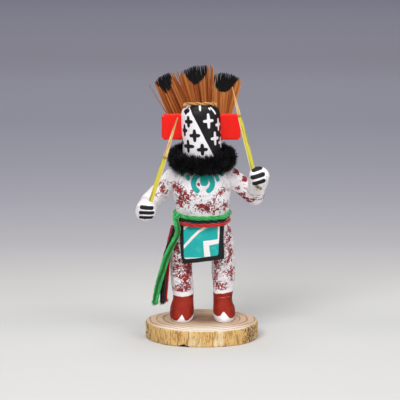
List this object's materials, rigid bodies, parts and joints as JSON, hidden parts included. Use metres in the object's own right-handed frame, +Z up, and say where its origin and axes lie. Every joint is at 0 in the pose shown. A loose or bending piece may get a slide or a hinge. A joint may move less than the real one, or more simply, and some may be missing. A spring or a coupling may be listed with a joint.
{
  "type": "kachina doll",
  "caption": "Carved and painted wooden kachina doll with a case mask, fur ruff, fanned feathers, leather flap and yarn sash, standing on a slice of branch.",
  "frame": {"origin": "middle of the wood slice's underside", "axes": "+Z up along the standing figure, the figure faces -Y, +X towards the right of someone looking at its front"},
  "size_m": [0.0564, 0.0439, 0.1157],
  "materials": {
    "painted_cottonwood": "matt white paint with brick red dabs",
    "branch_wood": "bare sawn wood",
    "red_painted_wood": "satin red paint",
    "black_fur": "short matt pile",
    "brown_feather": "barbed, with black tips",
    "yucca_leaf": "satin dried leaf",
    "tan_cord": "twisted cord",
    "painted_leather": "matt painted suede",
    "green_yarn": "twisted yarn",
    "black_yarn": "twisted yarn",
    "red_yarn": "twisted yarn"
  },
  "bodies": {
    "root": {"base": "branch_wood", "figure": "painted_cottonwood", "ear_left": "red_painted_wood", "ear_right": "red_painted_wood", "arm_left": "painted_cottonwood", "arm_right": "painted_cottonwood", "yucca_blade_left": "yucca_leaf", "yucca_blade_right": "yucca_leaf", "neck_ruff": "black_fur", "feather_left": "brown_feather", "feather_middle": "brown_feather", "feather_right": "brown_feather", "headband": "tan_cord", "apron": "painted_leather", "sash_green": "green_yarn", "sash_black": "black_yarn", "sash_red": "red_yarn", "tail_green": "green_yarn", "tail_black": "black_yarn", "tail_red": "red_yarn"}
  },
  "joints": []
}
